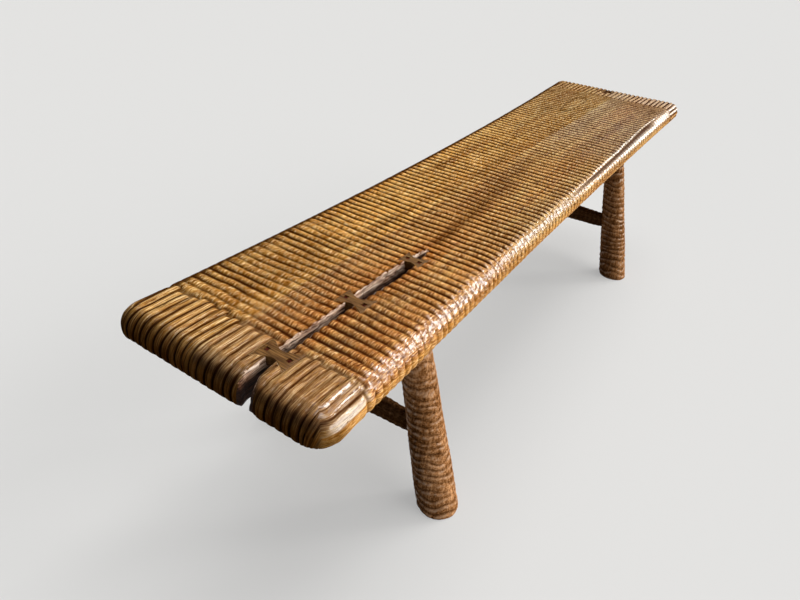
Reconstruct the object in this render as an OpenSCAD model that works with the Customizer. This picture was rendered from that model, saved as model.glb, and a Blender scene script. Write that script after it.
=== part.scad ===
// Carved hardwood bench: a slab seat with a natural split held by butterfly keys,
// four round splayed legs in blind mortises, and a stretcher between each pair of legs.
// Frame: +X runs along the seat, -X is the split end, +Z is up, the floor is Z = 0.
// "near" is the split end, "far" the other one; "right" is the -Y side, "left" the +Y side.

/* [Seat slab] */
// Length of the seat from end to end
seat_length = 1675; // [1500:5:1900]
// Height of the seat above the floor
seat_height = 450; // [400:5:500]
// Thickness of the slab
slab_thickness = 42; // [38:1:60]
// Width of the slab at the near end
near_end_width = 346; // [320:2:380]
// Width of the slab a third of the way along, at its waist
waist_width = 334; // [310:2:370]
// Width of the slab two thirds of the way along
hip_width = 354; // [330:2:390]
// Width of the slab at the far end
far_end_width = 397; // [360:2:420]
// Sideways shift of the slab's middle at the near end
near_end_shift = -24; // [-30:1:0]
// Sideways shift of the slab's middle at the waist
waist_shift = -18; // [-24:1:0]
// Sideways shift of the slab's middle at the hip
hip_shift = -2; // [-10:1:10]
// Sideways shift of the slab's middle at the far end
far_end_shift = 19; // [0:1:22]
// Radius of the four corners, seen from above
corner_radius = 33; // [30:1:60]
// Radius of the rounded edge round the top
top_edge_radius = 27; // [18:1:27]
// Radius of the rounded edge round the underside
bottom_edge_radius = 11; // [6:1:11]

/* [Carving] */
// Depth of the grooves between the carved ribs
groove_depth = 2.6; // [0.5:0.1:4]
// Width of a groove where it meets the top of the seat
groove_width = 9; // [4:0.5:11]
// Length of the band of lengthwise ridges at the near end
near_band_length = 83.5; // [70:0.5:110]
// Length of the band of lengthwise ridges at the far end
far_band_length = 115; // [90:1:140]
// Spacing of the lengthwise ridges in both bands
band_spacing = 12.8; // [12.5:0.1:20]
// Distance of the outermost lengthwise grooves from the slab's edges
band_margin = 14; // [8:1:24]
// Spacing of the ribs across the seat, near the near end
near_rib_spacing = 14.9; // [13.5:0.1:24]
// Spacing of the ribs across the seat, towards the far end
far_rib_spacing = 19.4; // [15:0.1:28]
// Distance from the near end at which the spacing starts to grow
rib_growth_start = 375; // [250:5:700]
// Distance from the near end at which it has reached its full size
rib_growth_end = 1258; // [800:2:1400]

/* [Split] */
// Length of the open split, measured from the near end
split_length = 387; // [365:1:410]
// Distance of the split's middle line from the bench's middle line
split_offset = 77; // [70:1:84]
// Width of the split where it opens at the end face
split_mouth_width = 18; // [14:1:24]
// Width of the split between the first two keys
split_neck_width = 12; // [8:1:13]
// Width of the split at its widest, past the middle key
split_belly_width = 21; // [16:1:26]
// Length of the stretch where the split goes right through the slab
split_through_length = 230; // [120:5:250]
// Depth of the split past that stretch, where it is blind
split_blind_depth = 16; // [10:1:17]

/* [Butterfly keys] */
// Distance of the outer key from the near end
outer_key_station = 64; // [56:1:80]
// Distance of the middle key from the near end
middle_key_station = 205; // [180:1:230]
// Distance of the inner key from the near end
inner_key_station = 344; // [310:1:360]
// Length of the outer key, across the split
outer_key_length = 50; // [44:1:60]
// Length of the middle key
middle_key_length = 45; // [40:1:54]
// Length of the inner key
inner_key_length = 36; // [32:1:44]
// Width of the outer key at its flared ends
outer_key_width = 39; // [32:1:44]
// Width of the middle key at its flared ends
middle_key_width = 37; // [30:1:42]
// Width of the inner key at its flared ends
inner_key_width = 32; // [28:1:38]
// Width of every key at its waist
key_waist = 14; // [10:1:18]
// Thickness of the keys
key_thickness = 14; // [10:1:18]
// Depth of the keys' faces below the top of the seat
key_recess = 1.5; // [0.5:0.5:3]
// Side of the square pegs that pin the keys
peg_side = 6; // [4:0.5:7]
// Length of the pegs
peg_length = 20; // [17:1:22]
// Depth of the pegs' heads below the keys' faces
peg_recess = 1.5; // [0.5:0.5:2.5]
// Distance of each peg from the end of its key
peg_margin = 7.5; // [6:0.5:9]

/* [Legs] */
// Distance of each foot's middle from the slab's end
foot_setback = 323; // [280:1:380]
// Distance between the middles of a pair of feet
foot_spread = 368; // [340:2:380]
// Sideways splay of the legs from upright, in degrees
leg_splay = 14; // [10:0.5:15]
// Diameter of a leg at the floor
foot_diameter = 78; // [68:1:80]
// Diameter of a leg at half its height
shin_diameter = 65; // [58:1:70]
// Diameter of a leg under the slab
shoulder_diameter = 49; // [42:1:56]
// Diameter of the round tenon on top of a leg
leg_tenon_diameter = 30; // [24:1:34]
// Length of the tenon on top of a leg
leg_tenon_length = 20; // [16:1:21]

/* [Stretchers] */
// Height of the stretchers' middle lines above the floor
stretcher_height = 157; // [140:1:200]
// Height of a stretcher's section at its ends
stretcher_end_depth = 35; // [28:1:38]
// Height of a stretcher's section at its middle
stretcher_middle_depth = 48; // [40:1:54]
// Thickness of a stretcher at its ends
stretcher_end_thickness = 24; // [22:1:28]
// Thickness of a stretcher at its middle
stretcher_middle_thickness = 29; // [26:1:36]
// Diameter of a stretcher's round tenons
stretcher_tenon_diameter = 20; // [16:1:21]
// Length of a stretcher's tenons inside the leg
stretcher_tenon_length = 28; // [22:1:30]

/* [Fits] */
// Glue gap round each tenon, key and peg
glue_gap = 0.15; // [0.1:0.05:0.3]
// Clearance past the end of each tenon and peg
end_clearance = 0.6; // [0.3:0.1:0.9]

/* [Hidden] */

$fn = 64;
near = -1;
far = 1;
right = -1;
left = 1;

// Seat slab
underside = seat_height - slab_thickness;
near_x = -seat_length / 2;
side_steps = 20;
corner_steps = 6;
slab_left_start = side_steps + 1 + 2 * corner_steps;
slab_corners_end = 2 * slab_left_start - 1;
top_arc_steps = 6;
bottom_arc_steps = 3;

// Legs
leg_run = underside / cos(leg_splay);
leg_steps = 10;
foot_x = seat_length / 2 - foot_setback;
foot_overrun = foot_diameter / 2 * tan(leg_splay) + 2;
shoulder_overrun = shoulder_diameter / 2 * tan(leg_splay) + 2;

// Stretchers
stretcher_along = stretcher_height / cos(leg_splay);
leg_line_y = foot_spread / 2 - stretcher_height * tan(leg_splay);
leg_inner_y = leg_line_y - leg_radius(stretcher_along) / cos(leg_splay);
tenon_end_y = leg_inner_y + stretcher_tenon_length;
bar_steps = 12;
bar_sides = 20;
bar_squareness = 0.8;

// Carving
band_stop = 1;
land_clearance = 0.2;

// Split and keys
split_steps = 24;
split_ramp = 26;
mouth_length = 16;
neck_end = 0.43;
belly_start = 0.62;
belly_end = 0.8;
key_curve = 1.5;
key_steps = 6;
key_face = seat_height - key_recess;
peg_top = key_face - peg_recess;
cut_margin = 5;

// Cubic through four equally spaced values, at t from 0 to 1
function cubic4(a, b, c, d, t) =
    let(u = 3 * t)
    a * (1 - u) * (2 - u) * (3 - u) / 6
    + b * u * (2 - u) * (3 - u) / 2
    + c * u * (u - 1) * (3 - u) / 2
    + d * u * (u - 1) * (u - 2) / 6;

// Parabola through three equally spaced values, at t from 0 to 1
function parabola3(a, b, c, t) =
    a * (1 - 2 * t) * (1 - t) + b * 4 * t * (1 - t) + c * t * (2 * t - 1);

// Smooth step from 0 to 1 while x goes from a to b
function smooth(a, b, x) =
    let(t = min(1, max(0, (x - a) / (b - a))))
    t * t * (3 - 2 * t);

// Width and sideways shift of the slab at x
function slab_t(x) = (x - near_x) / seat_length;
function slab_width(x) =
    cubic4(near_end_width, waist_width, hip_width, far_end_width, slab_t(x));
function slab_shift(x) =
    cubic4(near_end_shift, waist_shift, hip_shift, far_end_shift, slab_t(x));
// Y of the slab's edge at x on one side, moved inwards by inset
function slab_edge(x, side, inset) = slab_shift(x) + side * (slab_width(x) / 2 - inset);

// One side of the outline, from one end's corner to the other's
function side_run(side, inset) =
    let(first = near_x + corner_radius, last = -near_x - corner_radius)
    [for (i = [0 : side_steps])
        let(x = first + (last - first) * i / side_steps)
        [x, slab_edge(x, side, inset)]];

// One corner of the outline, turning anticlockwise from a start angle. The far right and
// near left corners end on their end face, and the other two start on it.
function corner_run(end, side, start, inset) =
    let(
        r = corner_radius - inset,
        cx = end * (seat_length / 2 - corner_radius),
        cy = slab_edge(cx, side, corner_radius),
        ends_on_face = end * side < 0,
        first = ends_on_face ? 1 : 0,
        last = ends_on_face ? corner_steps : corner_steps - 1
    )
    [for (i = [first : last])
        let(a = start + 90 * i / corner_steps)
        [cx + r * cos(a), cy + r * sin(a)]];

function reversed(list) = [for (i = [len(list) - 1 : -1 : 0]) list[i]];

// The slab's outline moved inwards by inset, anticlockwise from above
function slab_outline(inset) = concat(
    side_run(right, inset),
    corner_run(far, right, -90, inset),
    corner_run(far, left, 0, inset),
    reversed(side_run(left, inset)),
    corner_run(near, left, 90, inset),
    corner_run(near, right, 180, inset)
);

function at_height(outline, z) = [for (p = outline) [p[0], p[1], z]];

// Rings of the slab's skin, from the underside up
slab_rings = concat(
    [for (i = [bottom_arc_steps : -1 : 0])
        let(a = 90 * i / bottom_arc_steps)
        at_height(
            slab_outline(bottom_edge_radius * (1 - cos(a))),
            underside + bottom_edge_radius * (1 - sin(a))
        )],
    [for (i = [0 : top_arc_steps])
        let(a = 90 * i / top_arc_steps)
        at_height(
            slab_outline(top_edge_radius * (1 - cos(a))),
            seat_height - top_edge_radius * (1 - sin(a))
        )]
);

// Pieces of the slab's outline that tile its flat faces: both rounded ends, and a strip
// from side to side at each step between them
slab_tiles = concat(
    [[for (i = [side_steps : slab_left_start]) i]],
    [[for (i = [slab_left_start + side_steps : slab_corners_end]) i, 0]],
    [for (i = [0 : side_steps - 1])
        let(across = slab_left_start + side_steps - i)
        [i, i + 1, across - 1, across]]
);

// Solid through rings of equal length, each anticlockwise from above, lowest first. The
// tiles say which points of a ring make up each piece of its flat ends.
module loft(rings, tiles) {
    n = len(rings[0]);
    last = len(rings) - 1;
    sides = [for (r = [0 : last - 1], i = [0 : n - 1])
        let(j = (i + 1) % n, low = r * n, high = (r + 1) * n)
        each [[low + i, high + i, high + j], [low + i, high + j, low + j]]];
    top = [for (tile = tiles) reversed([for (i = tile) last * n + i])];
    polyhedron(points = [for (ring = rings) each ring], faces = concat(tiles, sides, top));
}

// Spacing of the cross ribs at x
function rib_spacing(x) =
    near_rib_spacing + (far_rib_spacing - near_rib_spacing)
        * smooth(near_x + rib_growth_start, near_x + rib_growth_end, x);

// Places of the cross grooves, from x up to the far band
function cross_grooves(x) =
    x > -near_x - far_band_length ? [] : concat([x], cross_grooves(x + rib_spacing(x)));

// Places of the lengthwise grooves between two edges, set out from the middle
function band_grooves(low, high) =
    let(count = floor((high - low) / band_spacing), first = (low + high - count * band_spacing) / 2)
    [for (i = [0 : count]) first + i * band_spacing];

// Side view of the air above grooved wood: a tooth reaches down at each place
module groove_profile(places, low, high) {
    half = groove_width / 2 * (groove_depth + land_clearance) / groove_depth;
    polygon(concat(
        [[low, cut_margin], [low, land_clearance]],
        [for (p = places)
            each [[p - half, land_clearance], [p, -groove_depth], [p + half, land_clearance]]],
        [[high, land_clearance], [high, cut_margin]]
    ));
}

// Grooves right across the seat, between the two bands
module cross_groove_cut() {
    places = cross_grooves(near_x + near_band_length);
    translate([0, far_end_width, seat_height])
        rotate([90, 0, 0])
            linear_extrude(2 * far_end_width)
                groove_profile(places, near_x, -near_x);
}

// Lengthwise grooves of one end's band
module band_groove_cut(end, length, width, shift) {
    places = band_grooves(shift - width / 2 + band_margin, shift + width / 2 - band_margin);
    start = end > 0 ? -near_x - length + band_stop : near_x - cut_margin;
    translate([start, 0, seat_height])
        rotate([90, 0, 90])
            linear_extrude(length - band_stop + cut_margin)
                groove_profile(places, -far_end_width, far_end_width);
}

// Half width of the split at a distance from the near end
function split_half_width(s) =
    let(
        t = s / split_length,
        swell = smooth(neck_end, belly_start, t),
        mouth = pow(max(0, 1 - s / mouth_length), 2),
        closing = t < belly_end ? 1 : sqrt(max(0, 1 - pow((t - belly_end) / (1 - belly_end), 2)))
    )
    (split_neck_width + (split_belly_width - split_neck_width) * swell
        + (split_mouth_width - split_neck_width) * mouth) / 2 * closing;

// Plan of the split, closed at its tip and running out past the end face
module split_plan() {
    s = [for (i = [0 : split_steps]) split_length * pow(i / split_steps, 1.3)];
    right_bank = [for (d = s) [near_x + d, -split_offset - split_half_width(d)]];
    left_bank = [for (i = [split_steps - 1 : -1 : 0])
        [near_x + s[i], -split_offset + split_half_width(s[i])]];
    polygon(concat(
        [[near_x - cut_margin, -split_offset - split_half_width(0)]],
        right_bank,
        left_bank,
        [[near_x - cut_margin, -split_offset + split_half_width(0)]]
    ));
}

// Side view of the split: open to the underside at first, then a ramp up to its blind floor
module split_profile() {
    floor_z = seat_height - split_blind_depth;
    above = seat_height + cut_margin;
    below = underside - cut_margin;
    polygon([
        [near_x - cut_margin, above],
        [near_x - cut_margin, below],
        [near_x + split_through_length, below],
        [near_x + split_through_length + split_ramp, floor_z],
        [near_x + split_length, floor_z],
        [near_x + split_length, above]
    ]);
}

module split_cut() {
    intersection() {
        translate([0, 0, underside - cut_margin])
            linear_extrude(slab_thickness + 2 * cut_margin)
                split_plan();
        translate([0, far_end_width / 2, 0])
            rotate([90, 0, 0])
                linear_extrude(far_end_width)
                    split_profile();
    }
}

// Plan of a butterfly key centred on the origin, its length along Y
module key_plan(length, width) {
    waist = key_waist / 2;
    flare = [for (i = [-key_steps : key_steps])
        let(t = i / key_steps)
        [waist + (width / 2 - waist) * pow(abs(t), key_curve), t * length / 2]];
    mirrored = [for (i = [len(flare) - 1 : -1 : 0]) [-flare[i][0], flare[i][1]]];
    polygon(concat(flare, mirrored));
}

// Places its children at a key's station on the split line
module at_key(station) {
    translate([near_x + station, -split_offset, 0]) children();
}

// The two pegs of a key, grown by gap all round and reaching down past their length
module peg_pair(key_length, gap, deeper) {
    for (side = [right, left])
        translate([
            -peg_side / 2 - gap,
            side * (key_length / 2 - peg_margin) - peg_side / 2 - gap,
            peg_top - peg_length - deeper
        ])
            cube([peg_side + 2 * gap, peg_side + 2 * gap, peg_length + deeper]);
}

// Clear way above the pegs, so that their heads sit in open holes
module peg_holes(key_length) {
    peg_pair(key_length, glue_gap, end_clearance);
    for (side = [right, left])
        translate([
            -peg_side / 2 - glue_gap,
            side * (key_length / 2 - peg_margin) - peg_side / 2 - glue_gap,
            peg_top - glue_gap
        ])
            cube([peg_side + 2 * glue_gap, peg_side + 2 * glue_gap, cut_margin + key_recess]);
}

// Pocket and peg holes that a key needs in the slab
module key_cut(station, length, width) {
    at_key(station) {
        translate([0, 0, key_face - key_thickness])
            linear_extrude(key_thickness + key_recess + cut_margin)
                key_plan(length + 2 * glue_gap, width + 2 * glue_gap);
        peg_holes(length);
    }
}

module butterfly_key(station, length, width) {
    color("peru")
        at_key(station)
            difference() {
                translate([0, 0, key_face - key_thickness])
                    linear_extrude(key_thickness)
                        key_plan(length, width);
                peg_holes(length);
            }
}

module key_pegs(station, length) {
    color("saddlebrown")
        at_key(station)
            peg_pair(length, 0, 0);
}

// Places its children on a leg's middle line, with +Z running up the leg
module at_leg(end, side) {
    translate([end * foot_x, side * foot_spread / 2, 0])
        rotate([side * leg_splay, 0, 0])
            children();
}

// Radius of a leg at a distance up its middle line from the floor
function leg_radius(s) =
    parabola3(foot_diameter, shin_diameter, shoulder_diameter, s / leg_run) / 2;

// Round body of a leg, longer than needed at both ends
module leg_blank() {
    first = -foot_overrun;
    last = leg_run + shoulder_overrun;
    s = [for (i = [0 : leg_steps]) first + (last - first) * i / leg_steps];
    rotate_extrude()
        polygon(concat(
            [[0, first]],
            [for (d = s) [leg_radius(d), d]],
            [[0, last]]
        ));
}

// Everything between the floor and the slab's underside
module under_seat() {
    translate([-seat_length, -seat_length, 0])
        cube([2 * seat_length, 2 * seat_length, underside]);
}

module leg_mortise(end, side) {
    at_leg(end, side)
        translate([0, 0, leg_run - shoulder_overrun - cut_margin])
            cylinder(
                d = leg_tenon_diameter + 2 * glue_gap,
                h = shoulder_overrun + cut_margin + leg_tenon_length + end_clearance
            );
}

// Blind hole in a leg for a stretcher's tenon
module stretcher_mortise(end, side) {
    translate([end * foot_x, 0, stretcher_height])
        rotate([-side * 90, 0, 0])
            cylinder(
                d = stretcher_tenon_diameter + 2 * glue_gap,
                h = tenon_end_y + end_clearance
            );
}

module leg(end, side) {
    color("sienna")
        difference() {
            union() {
                intersection() {
                    at_leg(end, side) leg_blank();
                    under_seat();
                }
                at_leg(end, side)
                    translate([0, 0, leg_run - shoulder_overrun])
                        cylinder(d = leg_tenon_diameter, h = shoulder_overrun + leg_tenon_length);
            }
            stretcher_mortise(end, side);
        }
}

// Section of a stretcher: a circle drawn out towards a rounded rectangle
function bar_ring(t) =
    let(
        swell = 1 - t * t,
        depth = stretcher_end_depth + (stretcher_middle_depth - stretcher_end_depth) * swell,
        thickness = stretcher_end_thickness
            + (stretcher_middle_thickness - stretcher_end_thickness) * swell
    )
    [for (i = [0 : bar_sides - 1])
        let(a = 360 * i / bar_sides, c = cos(a), s = sin(a))
        [
            thickness / 2 * sign(c) * pow(abs(c), bar_squareness),
            depth / 2 * sign(s) * pow(abs(s), bar_squareness),
            t * leg_line_y
        ]];

module stretcher(end) {
    color("saddlebrown")
        union() {
            difference() {
                translate([end * foot_x, 0, stretcher_height])
                    rotate([-90, 0, 0])
                        loft(
                            [for (i = [-bar_steps / 2 : bar_steps / 2]) bar_ring(2 * i / bar_steps)],
                            [[for (i = [0 : bar_sides - 1]) i]]
                        );
                at_leg(end, right) leg_blank();
                at_leg(end, left) leg_blank();
            }
            translate([end * foot_x, -tenon_end_y, stretcher_height])
                rotate([-90, 0, 0])
                    cylinder(d = stretcher_tenon_diameter, h = 2 * tenon_end_y);
        }
}

module seat_slab() {
    color("burlywood")
        difference() {
            loft(slab_rings, slab_tiles);
            cross_groove_cut();
            band_groove_cut(near, near_band_length, near_end_width, near_end_shift);
            band_groove_cut(far, far_band_length, far_end_width, far_end_shift);
            split_cut();
            key_cut(outer_key_station, outer_key_length, outer_key_width);
            key_cut(middle_key_station, middle_key_length, middle_key_width);
            key_cut(inner_key_station, inner_key_length, inner_key_width);
            for (end = [near, far], side = [right, left])
                leg_mortise(end, side);
        }
}

seat_slab();
butterfly_key(outer_key_station, outer_key_length, outer_key_width);  // butterfly_key_outer
butterfly_key(middle_key_station, middle_key_length, middle_key_width);  // butterfly_key_middle
butterfly_key(inner_key_station, inner_key_length, inner_key_width);  // butterfly_key_inner
key_pegs(outer_key_station, outer_key_length);  // key_pegs_outer
key_pegs(middle_key_station, middle_key_length);  // key_pegs_middle
key_pegs(inner_key_station, inner_key_length);  // key_pegs_inner
leg(near, right);  // leg_near_right
leg(near, left);  // leg_near_left
leg(far, right);  // leg_far_right
leg(far, left);  // leg_far_left
stretcher(near);  // stretcher_near
stretcher(far);  // stretcher_far
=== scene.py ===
# Looks of the carved teak bench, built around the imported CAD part. All lengths are in metres.
import math

import bpy
import numpy as np
from mathutils import Matrix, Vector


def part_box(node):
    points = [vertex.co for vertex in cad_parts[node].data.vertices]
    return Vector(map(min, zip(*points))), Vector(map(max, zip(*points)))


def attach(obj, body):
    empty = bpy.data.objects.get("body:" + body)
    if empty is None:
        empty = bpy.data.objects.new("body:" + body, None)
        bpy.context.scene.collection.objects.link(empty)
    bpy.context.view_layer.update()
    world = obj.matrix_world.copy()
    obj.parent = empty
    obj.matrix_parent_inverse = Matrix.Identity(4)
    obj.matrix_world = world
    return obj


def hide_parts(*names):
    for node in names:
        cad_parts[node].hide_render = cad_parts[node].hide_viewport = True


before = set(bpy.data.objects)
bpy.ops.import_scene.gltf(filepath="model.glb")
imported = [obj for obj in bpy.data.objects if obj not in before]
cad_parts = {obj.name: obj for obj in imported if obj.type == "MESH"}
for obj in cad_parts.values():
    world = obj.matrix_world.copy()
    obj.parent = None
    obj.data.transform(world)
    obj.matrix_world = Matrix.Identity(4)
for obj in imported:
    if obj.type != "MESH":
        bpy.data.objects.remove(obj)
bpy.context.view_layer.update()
scene = bpy.context.scene

# Sizes read from the CAD nodes
slab_low, slab_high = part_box("seat_slab")
seat_top, underside, half_length = slab_high.z, slab_low.z, slab_high.x
# How near CAD vertices lie to where they are picked, and the Y past which none is the split's
PICK_RANGE, PAST_SPLIT = 0.0005, 0.12

# Roundings of the slab, as in the CAD part
TOP_RADIUS, BOTTOM_RADIUS, CORNER_RADIUS = 0.027, 0.011, 0.033

# The slab's skin unrolled, outwards from its flat core: rim, top round, upright and bottom round
RIM = CORNER_RADIUS - TOP_RADIUS
TOP_ARC = TOP_RADIUS * math.pi / 2
UPRIGHT = seat_top - underside - TOP_RADIUS - BOTTOM_RADIUS
SKIN_REACH = RIM + (TOP_RADIUS + BOTTOM_RADIUS) * math.pi / 2 + UPRIGHT
# Points of the skin along, across and out past the core, and where its carving fades out
SKIN_ALONG, SKIN_ACROSS, SKIN_OUT = 1160, 162, 36
CARVING_FADE, LIP_FADE = 0.014, 0.02

# Gouge work on the seat. The cross grooves follow the CAD part's rule: they start at the near
# band, and their spacing grows between two places along the seat.
NEAR_BAND, FAR_BAND = -0.754, 0.7225
NEAR_SPACING, FAR_SPACING = 0.0149, 0.0194
GROWTH_START, GROWTH_END = -0.4625, 0.4205
RIB_DEPTH = 0.0026
BAND_DEPTH, BAND_PITCH = 0.0024, 0.0128
# Y of a lengthwise groove in the near and the far band
NEAR_BAND_GROOVE, FAR_BAND_GROOVE = -0.1776, -0.1602

# Banks of the split, seen from above: X, then Y of the left and the right bank
SPLIT_X = (-0.8375, -0.815, -0.76, -0.7, -0.64, -0.6, -0.55, -0.5, -0.465, -0.4505)
SPLIT_LEFT = (-0.0745, -0.069, -0.068, -0.07, -0.069, -0.066, -0.0665, -0.069, -0.0725, -0.0757)
SPLIT_RIGHT = (-0.0935, -0.085, -0.0815, -0.0805, -0.082, -0.085, -0.0887, -0.086, -0.08, -0.076)
# It goes through the slab up to this X, and down to this height from there on
SPLIT_THROUGH, SPLIT_BLIND_Z = -0.6, 0.424
# Rounding of its banks, and how much that grows towards the mouth
LIP_RADIUS, LIP_GROWTH = 0.0025, 0.0085
# How far its cutter reaches past the end, the top and the underside, how far it stops short of
# the tip, and its rings and levels
CUT_PAST, CUT_SHORT = (0.012, 0.006, 0.01), 0.0005
CUT_RINGS, CUT_LEVELS = 260, 26

CRACK_X = (-0.452, -0.303, -0.043, 0.14)
CRACK_Y = (-0.0765, -0.068, -0.044, -0.03)
CRACK_DEPTH, CRACK_WIDTH = 0.0012, 0.0011

# Inner line of the natural facet left along the right edge, and how far it steps down
WANE_X = (-0.19, 0.1, 0.3, 0.49, 0.62)
WANE_Y = (-0.168, -0.164, -0.16, -0.155, -0.158)
WANE_DEPTH = 0.0015
# Width of its dark part at both ends of the facet
WANE_WIDTH = (0.003, 0.01)

# Flats worn along the long arrises and on the near right corner: the tilt of their middle in
# degrees, the part of the round that they take off and half the tilt that they span
ARRIS_FLAT = (45, 0.55, 21)
CORNER_FLAT = (20, 0.95, 21)
# Middle of the corner's flat: along the seat, out on the unrolled skin and across the seat
CORNER_X, CORNER_SKIN, CORNER_Y = -0.789, 0.0105, -0.198

# Long stains on the seat: X from and to, Y, half width and strength
STREAKS = ((-0.75, -0.47, 0.052, 0.012, 0.5), (-0.7, -0.3, 0.02, 0.006, 0.3),
           (-0.32, 0.4, 0.012, 0.013, 0.42), (-0.2, 0.6, -0.098, 0.008, 0.3),
           (-0.55, 0.1, 0.098, 0.007, 0.3), (0.2, 0.74, 0.09, 0.012, 0.3),
           (0.3, 0.76, -0.03, 0.01, 0.35), (0.58, 0.8, -0.138, 0.018, 0.6),
           (0.66, 0.79, 0.09, 0.03, 0.35), (0.7, 0.8, 0.01, 0.022, 0.4),
           (-0.48, -0.08, 0.02, 0.0017, 0.75), (-0.56, -0.22, 0.036, 0.0014, 0.6),
           (-0.1, 0.46, -0.058, 0.002, 0.55), (0.02, 0.52, 0.052, 0.002, 0.6))

# Curled grain round an old branch near the far end: its middle, how much longer than wide it is,
# its radius across the seat and the width of one ring
SWIRL_X, SWIRL_Y = 0.56, 0.06
SWIRL_STRETCH, SWIRL_RADIUS, SWIRL_RING = 5.0, 0.036, 0.005

# Hollow knot at the far end: X and Y of its middle, its radii and its depth
KNOT_X, KNOT_Y = 0.79, 0.036
KNOT_RADII = (0.03, 0.019)
KNOT_DEPTH = 0.005

# Butterfly keys, named as in their CAD nodes
KEYS = ("outer", "middle", "inner")
# Width of a key's waist, the gap round it, its bevel, and its face's depth below the CAD key's
KEY_WAIST, KEY_GAP, KEY_BEVEL, KEY_SINK = 0.0145, 0.0004, 0.0009, 0.0004
# Side of a peg's hole, its middle's distance from the key's end, and the sizes of a peg's head
PEG_HOLE, PEG_MARGIN = 0.0066, 0.0078
PEG_SIDE, PEG_LENGTH, PEG_SINK, PEG_BEVEL = 0.0061, 0.0106, 0.0014, 0.0007

# Legs: their splay, their width at half height as a part of the foot's, the rings of their skin
# and the points in one, and the height and depth of a row of gouge scallops
LEG_SPLAY = math.radians(14)
LEG_WAIST = 65 / 78
LEG_RINGS, LEG_POINTS = 260, 200
SCALLOP_PITCH, SCALLOP_DEPTH = 0.0145, 0.0021
# Rounding under the foot: its height and how far it draws in
FOOT_ROUND, FOOT_DRAW = 0.003, 0.0014

# Stretchers: half their height and thickness at the ends and what each gains at the middle, the
# rings and points of their skin, how square they are, and the length and depth of one hollow
BAR_HEIGHT, BAR_HEIGHT_GAIN = 0.0175, 0.0065
BAR_THICKNESS, BAR_THICKNESS_GAIN = 0.012, 0.0025
BAR_RINGS, BAR_POINTS = 150, 48
BAR_SQUARENESS = 2.6
HOLLOW_PITCH, HOLLOW_DEPTH = 0.013, 0.0009

# Seat colours: its grain from dark to pale, each with its place on the grain's tone
SEAT_GRAIN = ((0.35, (0.28, 0.1, 0.011)), (0.44, (0.535, 0.23, 0.036)),
              (0.53, (0.795, 0.405, 0.09)), (0.62, (0.97, 0.63, 0.21)))
# Pale worn wood, and the colour of painted highlights on the arris, the facet's lip and the worn
# corner
WORN_PALE_AND_HIGHLIGHT = (0.78, 0.75, 0.7)
FLECK_PALE, FLECK_DARK = (0.96, 0.72, 0.37), (0.1, 0.03, 0.003)
LINE_PALE, LINE_DARK = (0.94, 0.7, 0.38), (0.12, 0.05, 0.012)
# Dark in the seat's grooves: partly oil-stained wood, partly painted shade in the hollows
GROOVE_DARK_AND_SHADE = (0.04, 0.01, 0.001)
# Stains, and painted shade along the split's banks
STAIN_AND_SHADE_DARK = (0.05, 0.016, 0.004)
# Tints that the seat's colour is multiplied by
DIM_TINT = (0.55, 0.512, 0.445)
PALE_TINT = (0.86, 0.95, 1.25)
COOL_TINT, WARM_TINT = (0.66, 0.68, 0.62), (1.0, 0.78, 0.52)
EMBER_TINT = (1.0, 0.66, 0.36)
# Dark end grain, which at the near end also stands in for painted shade
END_GRAIN_AND_SHADE_TINT = (0.158, 0.124, 0.09)

# Colours of the torn wood in the split, the keys, the pegs, and the legs and stretchers
WALL_GRAIN = ((0.39, (0.045, 0.022, 0.014)), (0.46, (0.3, 0.19, 0.13)),
              (0.53, (0.54, 0.39, 0.285)), (0.6, (0.8, 0.66, 0.54)))
KEY_GRAIN = ((0.34, (0.052, 0.021, 0.004)), (0.5, (0.13, 0.06, 0.014)),
             (0.64, (0.225, 0.115, 0.034)))
PEG_GRAIN = ((0.35, (0.025, 0.005, 0.003)), (0.65, (0.09, 0.02, 0.012)))
LEG_GRAIN = ((0.38, (0.06, 0.018, 0.003)), (0.49, (0.205, 0.085, 0.027)),
             (0.6, (0.48, 0.248, 0.112)))
# Dark in the legs' grooves, partly painted shade, and pale on their lips, a painted highlight
LEG_GROOVE_AND_SHADE, LEG_LIP_HIGHLIGHT = (0.03, 0.009, 0.002), (0.56, 0.32, 0.16)
# How light the legs and the stretchers are, and their grain's cells to the metre on X, Y and Z
LEG_LIGHTNESS, LEG_CELLS = 1.12, (330, 330, 30)
BAR_LIGHTNESS, BAR_CELLS = 0.47, (300, 30, 300)


def smooth(a, b, x):
    """Smooth step from 0 to 1 while x goes from a to b."""
    t = np.clip((x - a) / (b - a), 0.0, 1.0)
    return t * t * (3.0 - 2.0 * t)


def bell(away, width, power=2):
    """1 in the middle, falling to 0 past a width; a higher power gives a flatter top."""
    return np.exp(-((away / width) ** power))


def largest(value, *others):
    """The largest of several values at each point."""
    for other in others:
        value = np.maximum(value, other)
    return value


def lattice(ix, iy, seed):
    """Repeatable value from 0 to 1 for whole-numbered places."""
    n = (ix.astype(np.int64) * 374761393 + iy.astype(np.int64) * 668265263 + seed * 1442695041)
    n = n & 0x7FFFFFFF
    n = ((n ^ (n >> 13)) * 1274126177) & 0x7FFFFFFF
    return ((n ^ (n >> 16)) & 0xFFFF) / 65535.0


def noise(x, y, seed):
    """Smooth noise from -1 to 1 with cells of one unit, so callers divide by a width."""
    x, y = np.broadcast_arrays(np.asarray(x, float), np.asarray(y, float))
    x0, y0 = np.floor(x), np.floor(y)
    fx, fy = x - x0, y - y0
    fx, fy = fx * fx * (3 - 2 * fx), fy * fy * (3 - 2 * fy)
    low = lattice(x0, y0, seed) * (1 - fx) + lattice(x0 + 1, y0, seed) * fx
    high = lattice(x0, y0 + 1, seed) * (1 - fx) + lattice(x0 + 1, y0 + 1, seed) * fx
    return 2 * (low * (1 - fy) + high * fy) - 1


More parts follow.
